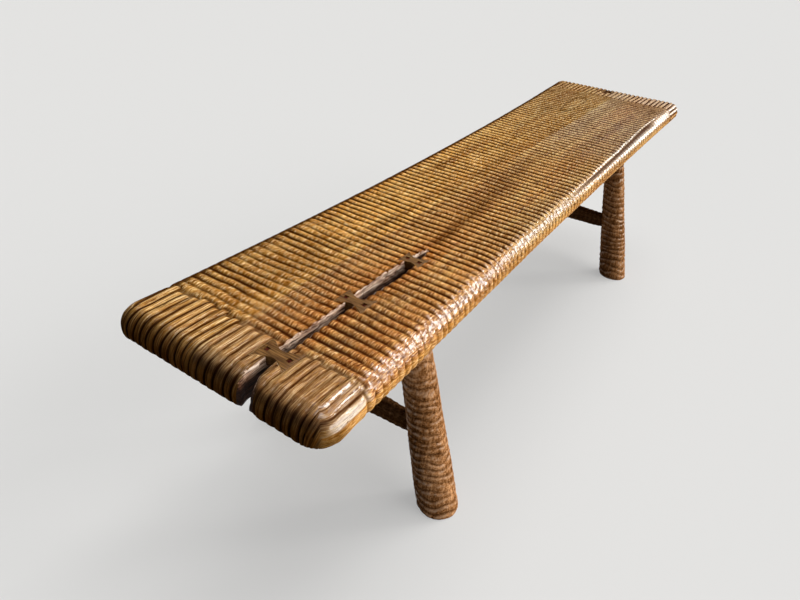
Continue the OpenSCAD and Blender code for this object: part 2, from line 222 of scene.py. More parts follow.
def ring_noise(turn, y, cells, seed):
    """Noise round a leg, which meets itself after one turn."""
    share = turn - np.floor(turn)
    here, back = noise(share * cells, y, seed), noise((share - 1) * cells, y, seed)
    return here * (1 - share) + back * share


def add_mesh(name, points, quads, caps=(), materials=()):
    """Object from arrays of points and quads, with any n-gon caps."""
    mesh = bpy.data.meshes.new(name)
    quads = np.asarray(quads, np.int32).reshape(-1, 4)
    sizes = [4] * len(quads) + [len(c) for c in caps]
    corners = np.concatenate([quads.ravel()] + [np.asarray(c, np.int32) for c in caps])
    starts = np.concatenate([[0], np.cumsum(sizes)[:-1]]).astype(np.int32)
    mesh.vertices.add(len(points))
    mesh.vertices.foreach_set("co", np.asarray(points, np.float32).ravel())
    mesh.loops.add(len(corners))
    mesh.loops.foreach_set("vertex_index", corners)
    mesh.polygons.add(len(sizes))
    mesh.polygons.foreach_set("loop_start", starts)
    mesh.update(calc_edges=True)
    for material in materials:
        mesh.materials.append(material)
    piece = bpy.data.objects.new(name, mesh)
    scene.collection.objects.link(piece)
    return piece


def grid_quads(index):
    """Quads between the rows and columns of a grid of point numbers."""
    corners = [index[:-1, :-1], index[1:, :-1], index[1:, 1:], index[:-1, 1:]]
    return np.stack(corners, axis=-1).reshape(-1, 4)


def add_tube(name, rings, materials=(), flipped=False):
    """Closed solid over rings of points, flipped where they run the other way round."""
    rows, columns = rings.shape[:2]
    index = np.arange(rows * columns).reshape(rows, columns)
    quads = grid_quads(np.concatenate([index, index[:, :1]], axis=1))
    first, last = index[0], index[-1][::-1]
    if flipped:
        quads = quads[:, [0, 3, 2, 1]]
        first, last = first[::-1], last[::-1]
    return add_mesh(name, rings.reshape(-1, 3), quads, [first, last], materials)


def read_triples(items, name):
    """A property of three numbers of all vertices or faces, one row each."""
    values = np.zeros(len(items) * 3, np.float32)
    items.foreach_get(name, values)
    return values.reshape(-1, 3).astype(float)


def set_values(piece, name, values, kind="FLOAT", field="value"):
    """Stores a value at each point, for the paint."""
    layer = piece.data.attributes.new(name, kind, "POINT")
    layer.data.foreach_set(field, np.asarray(values, np.float32).ravel())


def finish_shading(piece, degrees):
    """Smooth shading with creases where faces meet at more than an angle."""
    piece.data.shade_smooth()
    piece.data.set_sharp_from_angle(angle=math.radians(degrees))


def cut(piece, tools):
    """Subtracts closed meshes from piece, then deletes them."""
    for tool in tools:
        step = piece.modifiers.new(tool.name, "BOOLEAN")
        step.operation = "DIFFERENCE"
        step.solver = "MANIFOLD"
        step.object = tool
    bpy.context.view_layer.update()
    graph = bpy.context.evaluated_depsgraph_get()
    mesh = bpy.data.meshes.new_from_object(piece.evaluated_get(graph))
    piece.modifiers.clear()
    piece.data = mesh
    for tool in tools:
        bpy.data.objects.remove(tool)


class Nodes:
    """Short helpers for the nodes of a material or a world."""

    def __init__(self, owner):
        owner.use_nodes = True
        self.tree = owner.node_tree

    def fill(self, node, inputs):
        """Gives a node its inputs, each a constant or another node's output."""
        for name, value in inputs.items():
            if isinstance(value, bpy.types.NodeSocket):
                self.tree.links.new(value, node.inputs[name])
            else:
                node.inputs[name].default_value = value
        return node

    def add(self, kind, inputs=None):
        return self.fill(self.tree.nodes.new(kind), inputs or {})

    def combine(self, kind, a, b):
        node = self.add("ShaderNodeMath", {0: a, 1: b})
        node.operation = kind
        return node.outputs[0]

    def times(self, a, b):
        return self.combine("MULTIPLY", a, b)

    def largest(self, value, *others):
        for other in others:
            value = self.combine("MAXIMUM", value, other)
        return value

    def span(self, value, low, high, start=0.0, end=1.0, kind="LINEAR"):
        """Maps low..high to start..end, held at both ends."""
        node = self.add("ShaderNodeMapRange", {
            "Value": value, "From Min": low, "From Max": high, "To Min": start, "To Max": end})
        node.interpolation_type = kind
        return node.outputs["Result"]

    def shown(self, glossy_share):
        """1 for rays from the camera or through clear things, a share of it for glossy skins."""
        path = self.add("ShaderNodeLightPath")
        glossy = self.times(path.outputs["Is Glossy Ray"], glossy_share)
        return self.largest(glossy, path.outputs["Is Camera Ray"],
                            path.outputs["Is Transmission Ray"])


class Paint(Nodes):
    """A Principled material with its procedural nodes."""

    def __init__(self, name, roughness, specular, coat=0.0, coat_roughness=0.2, skin=""):
        self.material = bpy.data.materials.new(name)
        super().__init__(self.material)
        self.shader = self.tree.nodes["Principled BSDF"]
        self.fill(self.shader, {"Roughness": roughness, "Specular IOR Level": specular,
                                "Coat Weight": coat, "Coat Roughness": coat_roughness})
        if skin:
            self.place = self.value(skin, "Vector")
        else:
            self.place = self.add("ShaderNodeTexCoord").outputs["Object"]

    def value(self, name, output="Fac"):
        """A value that is stored at each point."""
        node = self.add("ShaderNodeAttribute")
        node.attribute_name = name
        return node.outputs[output]

    def noise(self, cells, detail=4, roughness=0.55, distortion=0.0, offset=(0, 0, 0)):
        """Noise from 0 to 1, with so many cells to the metre on X, Y and Z."""
        mapping = self.add("ShaderNodeMapping", {
            "Vector": self.place, "Scale": cells, "Location": offset})
        node = self.add("ShaderNodeTexNoise", {
            "Vector": mapping.outputs["Vector"], "Scale": 1.0, "Detail": detail,
            "Roughness": roughness, "Distortion": distortion})
        return node.outputs["Fac"]

    def ramp(self, value, stops):
        """Colour that changes along a row of places, each with its colour."""
        node = self.add("ShaderNodeValToRGB", {"Fac": value})
        points = node.color_ramp.elements
        while len(points) < len(stops):
            points.new(0.5)
        for point, (place, colour) in zip(points, stops):
            point.position = place
            point.color = (*colour, 1.0)
        return node.outputs["Color"]

    def layers(self, colour, *rows):
        """A colour under others, each mixed in or multiplied with by its share."""
        for kind, share, other in rows:
            node = self.add("ShaderNodeMix")
            node.data_type = "RGBA"
            node.blend_type = kind
            self.fill(node, {"Factor": share, 6: colour, 7: (*other, 1.0)})
            colour = node.outputs[2]
        return colour

    def relief(self, height, distance, strength=1.0, below=None):
        """Bump from a height, in metres, on top of another bump if given."""
        node = self.add("ShaderNodeBump", {
            "Height": height, "Distance": distance, "Strength": strength})
        if below:
            self.fill(node, {"Normal": below})
        return node.outputs["Normal"]

    def done(self, colour, normal, others=None):
        """The material, its coat with the same relief unless the other inputs say otherwise."""
        self.fill(self.shader, {"Base Color": colour, "Normal": normal, "Coat Normal": normal})
        self.fill(self.shader, others or {})
        return self.material


def seat_colour(paint, tone, fleck, fibre):
    """Teak's grain under dim, pale and worn areas, flecks, lines, grooves and stains, with painted
    shade in the grooves, at the near end and by the split, and painted highlights on the arris, the
    facet's lip and the worn corner.
    """
    broad = paint.noise((1.1, 11, 11), detail=3, offset=(3.1, 0, 0))
    band = paint.value("band")
    ribbed = paint.combine("SUBTRACT", 1.0, paint.times(band, 0.7))
    return paint.layers(
        paint.ramp(tone, SEAT_GRAIN),
        ("MULTIPLY", paint.value("dim"), DIM_TINT),
        ("MULTIPLY", paint.value("pale"), PALE_TINT),
        ("MULTIPLY", paint.span(broad, 0.5, 0.66, 0, 0.5), COOL_TINT),
        ("MULTIPLY", paint.span(broad, 0.5, 0.36, 0, 0.5), WARM_TINT),
        ("MIX", paint.value("bleach_and_highlight"), WORN_PALE_AND_HIGHLIGHT),
        ("MIX", paint.times(paint.span(fleck, 0.55, 0.62, 0, 0.85), ribbed), FLECK_PALE),
        ("MIX", paint.times(paint.span(fleck, 0.485, 0.38, 0, 0.95), ribbed), FLECK_DARK),
        ("MIX", paint.times(paint.span(fibre, 0.53, 0.61, 0, 0.6), band), LINE_PALE),
        ("MIX", paint.times(paint.span(fibre, 0.47, 0.37, 0, 0.8), band), LINE_DARK),
        # Grooves darkened, partly oil stain and partly painted shade
        ("MIX", paint.span(paint.value("groove"), 0.24, 0.88, 0, 0.97), GROOVE_DARK_AND_SHADE),
        ("MIX", paint.value("stain"), STAIN_AND_SHADE_DARK),
        ("MULTIPLY", paint.value("ember"), EMBER_TINT),
        ("MULTIPLY", paint.value("end_grain_and_shade"), END_GRAIN_AND_SHADE_TINT))


def seat_material(name, skin):
    """Oiled teak with lengthwise grain, grooves darkened partly as painted shade, and stains, its
    crests polished.
    """
    paint = Paint(name, 0.5, 0.0, coat_roughness=0.09, skin=skin)
    paint.shader.inputs["Coat IOR"].default_value = 1.8
    bands = paint.noise((2.6, 62, 62), detail=5, roughness=0.6, distortion=0.4)
    fine = paint.noise((16, 420, 420), roughness=0.6)
    fleck = paint.noise((95, 760, 760), detail=3, roughness=0.6, offset=(0, 7, 0))
    fibre = paint.noise((24, 620, 620), roughness=0.65, distortion=0.5, offset=(0, 0, 5))
    worn = paint.noise((130, 240, 240), detail=2, roughness=0.5, offset=(2, 0, 0))
    tone = paint.combine("ADD", paint.times(bands, 0.5), paint.times(fine, 0.5))
    normal = paint.relief(fine, 0.0005, 0.7)
    normal = paint.relief(fleck, 0.0008, 0.7, below=normal)
    normal = paint.relief(fibre, 0.0004, 0.5, below=normal)
    dull = paint.largest(paint.value("groove"), paint.value("end_grain_and_shade"), paint.value("stain"))
    shiny = paint.times(paint.span(paint.value("polish"), 0.0, 1.0, 0.28),
                        paint.span(worn, 0.42, 0.5, 0.12))
    coat = paint.times(paint.span(dull, 0.15, 0.6, 1.0, 0.0), shiny)
    return paint.done(seat_colour(paint, tone, fleck, fibre), normal,
                      {"Roughness": paint.span(tone, 0.35, 0.65, 0.7, 0.5),
                       "Coat Weight": coat, "Coat Normal": paint.relief(fleck, 0.00005, 0.4)})


def wall_material():
    """Weathered torn fibre inside the split, darkened further down as painted shade."""
    paint = Paint("teak_split_wall", 0.8, 0.2)
    fibre = paint.noise((22, 300, 500), detail=6, roughness=0.7)
    patches = paint.noise((30, 60, 110), detail=3)
    colour = paint.layers(
        paint.ramp(fibre, WALL_GRAIN),
        ("MULTIPLY", paint.span(patches, 0.45, 0.62, 0, 0.6), (0.8, 0.52, 0.36)),
        # Painted shade deeper in the split
        ("MULTIPLY", paint.value("painted_split_shade"), (0.14, 0.09, 0.07)),
        ("MULTIPLY", paint.value("end_grain_and_shade"), (0.3, 0.18, 0.1)))
    return paint.done(colour, paint.relief(fibre, 0.0012, 0.9))


def key_material():
    """Olive-brown hardwood with its grain along the key."""
    paint = Paint("key_teak", 0.5, 0.1, coat=0.15)
    fine = paint.noise((700, 40, 700), roughness=0.6)
    broad = paint.noise((120, 30, 60), detail=3)
    patches = ("MULTIPLY", paint.span(broad, 0.4, 0.62, 0, 0.5), (0.6, 0.42, 0.3))
    colour = paint.layers(paint.ramp(fine, KEY_GRAIN), patches)
    return paint.done(colour, paint.relief(fine, 0.0005, 0.7))


def peg_material():
    """Dark purple-brown peg heads."""
    paint = Paint("peg_wood", 0.7, 0.0)
    fine = paint.noise((500, 500, 120))
    return paint.done(paint.ramp(fine, PEG_GRAIN), paint.relief(fine, 0.0004, 0.6))


def leg_material(name, lightness, cells):
    """Darker teak of the legs and stretchers, its grooves darkened partly as painted shade and its
    polished lips paled as a painted highlight.
    """
    def lit(colour):
        return tuple(part * lightness for part in colour)

    paint = Paint(name, 0.5, 0.0, coat_roughness=0.16)
    fine = paint.noise(cells, detail=5, roughness=0.62)
    broad = paint.noise(tuple(count / 7 for count in cells), detail=3, offset=(5, 2, 0))
    speck = paint.noise((280, 280, 420), detail=3, roughness=0.6, offset=(0, 0, 9))
    tone = paint.combine("ADD", paint.times(fine, 0.35), paint.times(broad, 0.3))
    tone = paint.combine("ADD", tone, paint.times(speck, 0.35))
    groove, lip = paint.value("groove"), paint.value("lip")
    colour = paint.layers(
        paint.ramp(tone, [(place, lit(grain)) for place, grain in LEG_GRAIN]),
        ("MIX", paint.span(groove, 0.15, 0.9, 0, 0.52), LEG_GROOVE_AND_SHADE),
        ("MIX", paint.span(lip, 0.2, 1.0, 0, 0.55), lit(LEG_LIP_HIGHLIGHT)))
    return paint.done(colour, paint.relief(speck, 0.0006, 0.7),
                      {"Coat Weight": paint.span(lip, 0.3, 0.8)})


def slab_edges():
    """Cubic fits of Y along the slab's right and left sides, from the CAD node."""
    x, y, z = read_triples(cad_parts["seat_slab"].data.vertices, "co").T
    upright = z > underside + BOTTOM_RADIUS - PICK_RANGE
    upright &= z < seat_top - TOP_RADIUS + PICK_RANGE
    upright &= np.abs(x) < half_length - CORNER_RADIUS + PICK_RANGE
    sides = []
    for outwards in (-y, y):
        pick = upright & (outwards > PAST_SPLIT)
        sides.append(np.polyfit(x[pick], y[pick], 3))
    return sides


def wrap_profile(d):
    """The skin's distance outwards, height and tilt, d out from the core along it."""
    top = np.clip((d - RIM) / TOP_RADIUS, 0, math.pi / 2)
    bottom = np.clip((d - RIM - TOP_ARC - UPRIGHT) / BOTTOM_RADIUS, 0, math.pi / 2)
    straight = np.clip(d - RIM - TOP_ARC, 0, UPRIGHT)
    out = np.minimum(d, RIM) + TOP_RADIUS * np.sin(top) - BOTTOM_RADIUS * (1 - np.cos(bottom))
    z = seat_top - TOP_RADIUS * (1 - np.cos(top)) - straight - BOTTOM_RADIUS * np.sin(bottom)
    return out, z, top + bottom


def rib_phase(x):
    """Cross ribs counted along the seat: whole numbers on crests, halves in grooves."""
    places = [NEAR_BAND]
    while places[-1] < FAR_BAND:
        growth = smooth(GROWTH_START, GROWTH_END, places[-1])
        places.append(places[-1] + NEAR_SPACING + (FAR_SPACING - NEAR_SPACING) * growth)
    return np.interp(x, places, np.arange(len(places)) + 0.5)


def off_crest(phase):
    """0 on a rib's crest, rising evenly to 1 in the groove between ribs."""
    return np.abs(phase - np.round(phase)) * 2


def knot(x, y):
    """1 in the middle of the hollow knot, falling to 0 at its ragged rim."""
    away = np.hypot((x - KNOT_X) / KNOT_RADII[0], (y - KNOT_Y) / KNOT_RADII[1])
    away = away + 0.25 * noise(x / 0.012, y / 0.01, 71)
    return smooth(1.1, 0.55, away)


def swirl(x, y):
    """Dark rings of curled grain near the far end, 0 away from them."""
    around = np.hypot((x - SWIRL_X) / SWIRL_STRETCH, y - SWIRL_Y)
    around = around + 0.004 * noise(x / 0.1, y / 0.02, 77)
    return bell(around, SWIRL_RADIUS, 4) * smooth(-0.1, 0.5, noise(around / SWIRL_RING, 0, 76))


def streaks(x, y):
    """Long stains along the grain."""
    patchy = 0.7 + 0.3 * noise(x / 0.05, y / 0.006, 73)
    stain = np.zeros_like(x)
    for start, end, middle, half, strength in STREAKS:
        away = y - middle - 0.006 * noise(x / 0.12, middle * 90, 72)
        reached = smooth(start, start + 0.08, x) * smooth(end, end - 0.12, x)
        stain = largest(stain, strength * bell(away, half) * reached * patchy)
    return stain


def split_banks(x):
    """Y of the left and the right bank of the split."""
    return np.interp(x, SPLIT_X, SPLIT_LEFT), np.interp(x, SPLIT_X, SPLIT_RIGHT)


def split_lips(x, y):
    """Depth of the rounding along the banks of the split."""
    left, right = split_banks(x)
    away = np.hypot(largest(y - left, right - y, 0), largest(x - SPLIT_X[-1], 0))
    radius = LIP_RADIUS + LIP_GROWTH * smooth(-0.79, -0.835, x)
    t = np.clip(1 - away / radius, 0, 1)
    return radius * 0.8 * (1 - np.sqrt(1 - t * t))


def crack_distance(x, y):
    """Distance from the check past the split's tip, and how far along it is."""
    line = np.interp(x, CRACK_X, CRACK_Y) + 0.002 * noise(x / 0.03, 0, 61)
    along = np.clip((x - CRACK_X[0]) / (CRACK_X[-1] - CRACK_X[0]), 0, 1)
    return np.abs(y - line), along


def crack_depth(x, y):
    """Depth of the check's thin groove."""
    gap, reach = crack_distance(x, y)
    return CRACK_DEPTH * bell(gap, CRACK_WIDTH) * smooth(0.5, 0.2, reach) * (reach > 0)


def flat_depth(d, middle, share, span):
    """How far a flat on the round top edge lies below the round itself."""
    half = math.radians(span)
    tilt = (d - RIM) / TOP_RADIUS - math.radians(middle)
    chord = 1 - math.cos(half) / np.cos(np.clip(tilt, -half, half))
    return share * TOP_RADIUS * chord


def corner_share(x, y, d):
    """1 on the glossy flat of the near right corner."""
    return bell(x - CORNER_X, 0.04, 4) * bell(d - CORNER_SKIN, 0.0115, 4) * (y < 0)


def wane_line(x):
    """Inner line of the natural facet, with its small wander."""
    return np.interp(x, WANE_X, WANE_Y) + 0.0012 * noise(x / 0.05, 0, 24)


def wane_share(x):
    """How much of the natural edge facet there is at x."""
    return smooth(WANE_X[0], WANE_X[0] + 0.25, x) * smooth(WANE_X[-1], WANE_X[-1] - 0.12, x)


def wane_lip(x, y):
    """1 on the rubbed lip along the facet's inner line."""
    share = smooth(WANE_X[0] + 0.2, WANE_X[0] + 0.42, x) * smooth(0.66, 0.58, x)
    return share * bell(y - wane_line(x) - 0.001, 0.0014)


def cross_ribs(x, y, d):
    """Depth and groove tone of the ribs across the seat."""
    wobble = 0.16 * noise(x / 0.09, y / 0.1, 1) + 0.09 * noise(x / 0.03, y / 0.035, 2)
    cross = rib_phase(x) + wobble
    rib = np.round(cross)
    deep = 1 + 0.25 * noise(rib * 0.73, y / 0.06, 3) + 0.12 * noise(rib * 3.7, y / 0.026, 4)
    over_arris = smooth(0.012, 0.02, d) * smooth(0.042, 0.033, d)
    below = smooth(0.036, 0.048, d)
    power = 1.55 + 0.3 * noise(rib * 0.37, y / 0.1, 5) + 4.0 * over_arris
    q = off_crest(cross)
    fade = (1 + 0.35 * smooth(-0.6, -0.1, x)) * (1 - 0.4 * smooth(0.55, 0.72, x))
    depth = RIB_DEPTH * deep * fade * q ** power * (1 - 0.78 * over_arris) * (1 - 0.5 * below)
    broken = 1 - 0.2 * smooth(0.2, 0.7, noise(rib * 5.1, y / 0.006, 6))
    tone = q ** (1.25 + 4.5 * over_arris) * np.clip(deep * fade, 0, 1.3) * broken
    return depth, tone * (1 - 0.3 * over_arris) * (1 - 0.45 * below)


def band_ridges(x, y, d):
    """Depth, groove tone and number of the lengthwise ridges at both ends."""
    near_end = x < 0
    first = np.where(near_end, NEAR_BAND_GROOVE, FAR_BAND_GROOVE)
    sway = 0.3 * noise(x / 0.1, y / 0.028, 11) + 0.12 * noise(x / 0.03, y / 0.02, 12)
    length = (y - first) / BAND_PITCH + 0.5 + np.where(near_end, sway, 0.5 * sway)
    ridge = np.round(length)
    q = off_crest(length)
    uneven = 1 + 0.4 * noise(ridge * 1.7, x / 0.05, 13)
    fibre = smooth(0, 0.7, noise(x / 0.05 + 3 * noise(x / 0.03, y / 0.01, 16), y / 0.0026, 15))
    depth = BAND_DEPTH * uneven * q ** 1.8 * (1 - 0.4 * smooth(0.015, 0.045, d))
    depth = depth * np.where(near_end, 0.8, 1.4) + 0.0005 * fibre * near_end
    tone = largest(q ** 2.2 * np.clip(uneven, 0.6, 1.3), 0.45 * fibre * near_end)
    return depth, tone * np.where(near_end, 1.22, 1.45), ridge


def grooves(x, y, d, wane):
    """Depth and tone of all grooves, and the share of the near band."""
    cross_depth, cross_tone = cross_ribs(x, y, d)
    plain = 1 - largest(0.45 * wane * smooth(0.012, 0.006, d), 0.8 * wane_lip(x, y))
    band_depth, band_tone, ridge = band_ridges(x, y, d)
    ragged = 0.006 * noise(ridge * 2.3, 0, 14)
    near = smooth(NEAR_BAND + 0.004, NEAR_BAND - 0.006, x + ragged)
    far = smooth(FAR_BAND - 0.006, FAR_BAND + 0.006, x + ragged)
    band = largest(near, far)
    border = bell(x + ragged - NEAR_BAND, 0.0035)
    far_border = bell(x + ragged - FAR_BAND, 0.0045)
    depth = cross_depth * plain * (1 - band) + band_depth * band
    depth = depth + 0.0018 * border + 0.0006 * far_border
    tone = cross_tone * plain * (1 - band) + band_tone * band
    return depth, largest(tone, 0.8 * border, 0.5 * far_border), near


def carve(x, y, d):
    """Depth below the blank's skin and groove tone, from unrolled places on the slab."""
    line = wane_line(x)
    wane = smooth(line + 0.0008, line - 0.0012, y) * smooth(0.03, 0.022, d) * wane_share(x)
    depth, tone, near = grooves(x, y, d, wane)

    # The worn corner and the near band's left strip have hardly any grooves
    corner = corner_share(x, y, d)
    strip_left = smooth(0.128, 0.14, y) * near * smooth(0.045, 0.03, d)
    calm = largest(corner, 0.8 * strip_left)
    depth = depth * (1 - 0.85 * calm) + 0.0006 * calm
    tone = tone * (1 - 0.9 * calm + 0.5 * corner)
    tone = tone * (1 - 0.65 * near * smooth(-0.186, -0.2, y))
    # The left side's round, which faces away from the light, is darkened all along as painted shade
    turned_away_shade = smooth(0.002, 0.012, d) * smooth(0.042, 0.028, d) * (y > 0)
    tone = largest(tone, 0.85 * turned_away_shade * smooth(0.825, 0.79, np.abs(x)))

    arris = smooth(-0.8, -0.775, x) * smooth(0.825, 0.8, x) * smooth(0.004, 0.01, d)
    arris = arris * (0.9 + 0.35 * noise(x / 0.018, 0, 25)) * (1 + 0.2 * smooth(0.2, 0.5, x))
    depth = depth + arris * flat_depth(d, *ARRIS_FLAT) + corner * flat_depth(d, *CORNER_FLAT)
    chatter = 0.00016 * noise(x / 0.011, y / 0.0045, 21) + 0.0003 * noise(x / 0.02, y / 0.016, 22)
    chatter = chatter * (1 - 0.75 * largest(arris * smooth(0.04, 0.034, d), corner))
    waves = 0.0009 * (1 + noise(x / 0.25, y / 0.12, 23)) / 2
    depth = depth + chatter + 0.0005 + waves
    return depth + WANE_DEPTH * wane + KNOT_DEPTH * knot(x, y), tone


def build_slab():
    """Carved seat slab: a grid over its flat core, wrapped round its edges and corners."""
    right, left = slab_edges()
    core = half_length - CORNER_RADIUS
    over = np.linspace(0, SKIN_REACH, SKIN_OUT + 1)[1:]
    along = np.concatenate([-core - over[::-1], np.linspace(-core, core, SKIN_ALONG), core + over])
    across = np.concatenate([-1 - over[::-1], np.linspace(-1, 1, SKIN_ACROSS), 1 + over])
    s, t = np.meshgrid(along, across, indexing="ij")
    past_x, past_y = largest(np.abs(s) - core, 0), largest(np.abs(t) - 1, 0)
    core_x = np.clip(s, -core, core)
    low = np.polyval(right, core_x) + CORNER_RADIUS
    high = np.polyval(left, core_x) - CORNER_RADIUS
    core_y = low + (high - low) * (np.clip(t, -1, 1) + 1) / 2
    # At a corner the skin fans out from straight along X to straight along Y
    d = largest(past_x, past_y)
    from_x, from_y = past_y / largest(past_x, 1e-9), 2 - past_x / largest(past_y, 1e-9)
    angle = np.where(past_x >= past_y, from_x, from_y) * math.pi / 4
    dx, dy = np.sign(s) * np.cos(angle) * (d > 0), np.sign(t) * np.sin(angle) * (d > 0)
    out, z, tilt = wrap_profile(d)

    x, y = s, core_y + np.sign(t) * past_y
    depth, tone = carve(x, y, d)
    depth = depth * smooth(SKIN_REACH, SKIN_REACH - CARVING_FADE, d)
    depth = depth + split_lips(x, y) * smooth(SKIN_REACH, SKIN_REACH - LIP_FADE, d)
    depth = largest(depth + crack_depth(x, y), 0.0)
    depth[d >= SKIN_REACH - 1e-6] = 0
    inwards = out - np.sin(tilt) * depth
    points = np.stack([core_x + dx * inwards, core_y + dy * inwards, z - np.cos(tilt) * depth],
                      axis=-1)
    index = np.arange(s.size).reshape(s.shape)
    rim = np.concatenate([index[0, :-1], index[:-1, -1], index[-1, :0:-1], index[:0:-1, 0]])
    slab = add_mesh("seat_slab_carved", points.reshape(-1, 3), grid_quads(index), [rim],
                    [seat_material("teak_seat", "unrolled"), wall_material(),
                     seat_material("teak_underside", "")])
    # Flat places on the unrolled skin, so that the grain follows it round its edges
    unrolled = np.stack([x, y, np.zeros_like(x)], axis=-1)
    set_values(slab, "unrolled", unrolled, "FLOAT_VECTOR", "vector")
    set_values(slab, "groove", tone)
    on_arris = smooth(0.006, 0.014, d) * smooth(0.046, 0.036, d)
    set_values(slab, "polish", largest(on_arris, corner_share(x, y, d)))
    return slab


def split_cutter():
    """Rough-walled wedge of air between the two banks of the split."""
    stations = np.linspace(SPLIT_X[0], SPLIT_X[-1] - CUT_SHORT, CUT_RINGS)
    levels = np.linspace(0, 1, CUT_LEVELS)
    past_end, past_top, past_bottom = CUT_PAST
    top = seat_top + past_top
    rings = []
    for x in [SPLIT_X[0] - past_end, *stations]:
        left, right = split_banks(x)
        floor = underside - past_bottom
        if x > SPLIT_THROUGH:
            floor = SPLIT_BLIND_Z + 0.003 * noise(x / 0.02, 0, 31)
        z = top + (floor - top) * levels
        # Near the tip the walls are smoother, and further down they lie closer together
        room = np.clip((left - right) / 0.008, 0.05, 1)
        narrow = 1 - 0.5 * np.clip((seat_top - z) / 0.042, 0, 1)
        rough_left = 0.001 * noise(x / 0.05, z / 0.006, 32)
        rough_left += 0.0011 * noise(x / 0.007, z / 0.004, 33)
        rough_right = 0.0009 * noise(x / 0.04, z / 0.006, 34)
        middle = (left + right) / 2
        wall_left = middle + (left - middle) * (0.5 + narrow / 2) + rough_left * room
        wall_right = middle + (right - middle) * narrow + rough_right * room
        y = np.concatenate([wall_left, wall_right[::-1]])
        rings.append(np.column_stack([np.full(y.shape, x), y, np.concatenate([z, z[::-1]])]))
    return add_tube("split_cutter", np.array(rings))


def key_outline(length, width, grow):
    """Hourglass plan of a butterfly key centred on the origin, anticlockwise."""
    t = np.linspace(-1, 1, 33)
    half = KEY_WAIST / 2 + (width / 2 - KEY_WAIST / 2) * np.abs(t) ** 1.55
    dip = 0.0006 * (1 - np.abs(t))
    side = np.stack([half + grow + dip, t * (length / 2 + grow)], axis=-1)
    return np.concatenate([side, side[::-1] * (-1, 1)])


def prism(name, outline, low, high, bevel=0.0, materials=()):
    """Upright prism on an outline, its top edge bevelled by scaling towards the middle."""
    centre = outline.mean(axis=0)
    size = np.abs(outline - centre).max(axis=0)
    levels = [(0.0, low), (0.0, high - bevel)]
    if bevel:
        levels += [(0.3, high - 0.3 * bevel), (1.0, high)]
    rings = []
    for drawn_in, z in levels:
        ring = centre + (outline - centre) * (1 - drawn_in * bevel / size)
        rings.append(np.column_stack([ring, np.full(len(ring), z)]))
    return add_tube(name, np.array(rings), materials, flipped=True)


def square(side, cx, cy, turn):
    """Corners of a turned square."""
    h = side / 2
    base = np.array([(-h, -h), (h, -h), (h, h), (-h, h)])
    c, s = math.cos(turn), math.sin(turn)
    return base @ np.array([[c, s], [-s, c]]) + (cx, cy)


def build_keys(slab):
    """Keys, their pegs, and the pockets that they sit in."""
    wood, peg_wood = key_material(), peg_material()
    pockets = []
    pieces = []
    for order, name in enumerate(KEYS):
        node = "butterfly_key_" + name
        low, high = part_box(node)
        x, y = (low.x + high.x) / 2, (low.y + high.y) / 2
        length, width = high.y - low.y, high.x - low.x
        face = high.z - KEY_SINK
        outline = key_outline(length, width, 0.0) + (x, y)
        key = prism(node + "_shown", outline, low.z, face, KEY_BEVEL, [wood])
        holes = []
        for end, side in ((-1, "right"), (1, "left")):
            peg_y = y + end * (length / 2 - PEG_MARGIN)
            turn = 0.1 * (order - 1) + 0.06 * end
            hole = square(PEG_HOLE, x, peg_y, turn)
            holes.append(prism("peg_hole", hole, low.z + 0.002, face + 0.01))
            head = face - PEG_SINK
            peg = prism("key_peg_%s_%s" % (name, side), square(PEG_SIDE, x, peg_y, turn),
                        head - PEG_LENGTH, head, PEG_BEVEL, [peg_wood])
            finish_shading(peg, 30)
            pieces.append((peg, "peg_hardwood", "key_pegs_" + name))
        cut(key, holes)
        finish_shading(key, 35)
        pieces.append((key, "key_teak", node))
        grown = key_outline(length, width, KEY_GAP) + (x, y)
        pockets.append(prism("pocket", grown, low.z - 0.0006, seat_top + 0.01))
    cut(slab, pockets)
    return pieces


class Areas:
    """Places on the slab and the shares, from 0 to 1, of the areas that its paint knows."""

    def __init__(self, x, y, z):
        self.x, self.y = x, y
        self.sunk = seat_top - z
        self.gap, self.reach = crack_distance(x, y)
        left, right = split_banks(x)
        self.off_split = largest(y - left, right - y, 0)
        self.flat_top = smooth(0.014, 0.006, self.sunk)
        self.rounded = smooth(0.003, 0.01, self.sunk)
        self.below_round = smooth(0.016, 0.026, self.sunk)
        self.near_band = smooth(NEAR_BAND + 0.004, NEAR_BAND - 0.004, x)
        self.far_band = smooth(FAR_BAND, FAR_BAND + 0.008, x)
        near_right = smooth(NEAR_BAND, NEAR_BAND - 0.006, x) * smooth(-0.086, -0.1, y)
        self.near_right = near_right * self.flat_top
        self.right_edge = smooth(-0.08, -0.16, y - 0.05 * smooth(0, 0.3, x))
        self.arris = bell(self.sunk - 0.009, 0.006) * (y < 0)
        self.worn_corner = bell(x - CORNER_X, 0.038, 4) * bell(y - CORNER_Y, 0.0095, 4)
        line = np.interp(x, WANE_X, WANE_Y) - 0.0015
        outer = line - np.interp(x, (WANE_X[0], WANE_X[-1]), WANE_WIDTH)
        facet = smooth(line + 0.001, line - 0.001, y) * smooth(outer - 0.006, outer + 0.003, y)
        self.facet = facet * wane_share(x) * (self.sunk < 0.02)
        self.lip = wane_lip(x, y) * (self.sunk < 0.006)


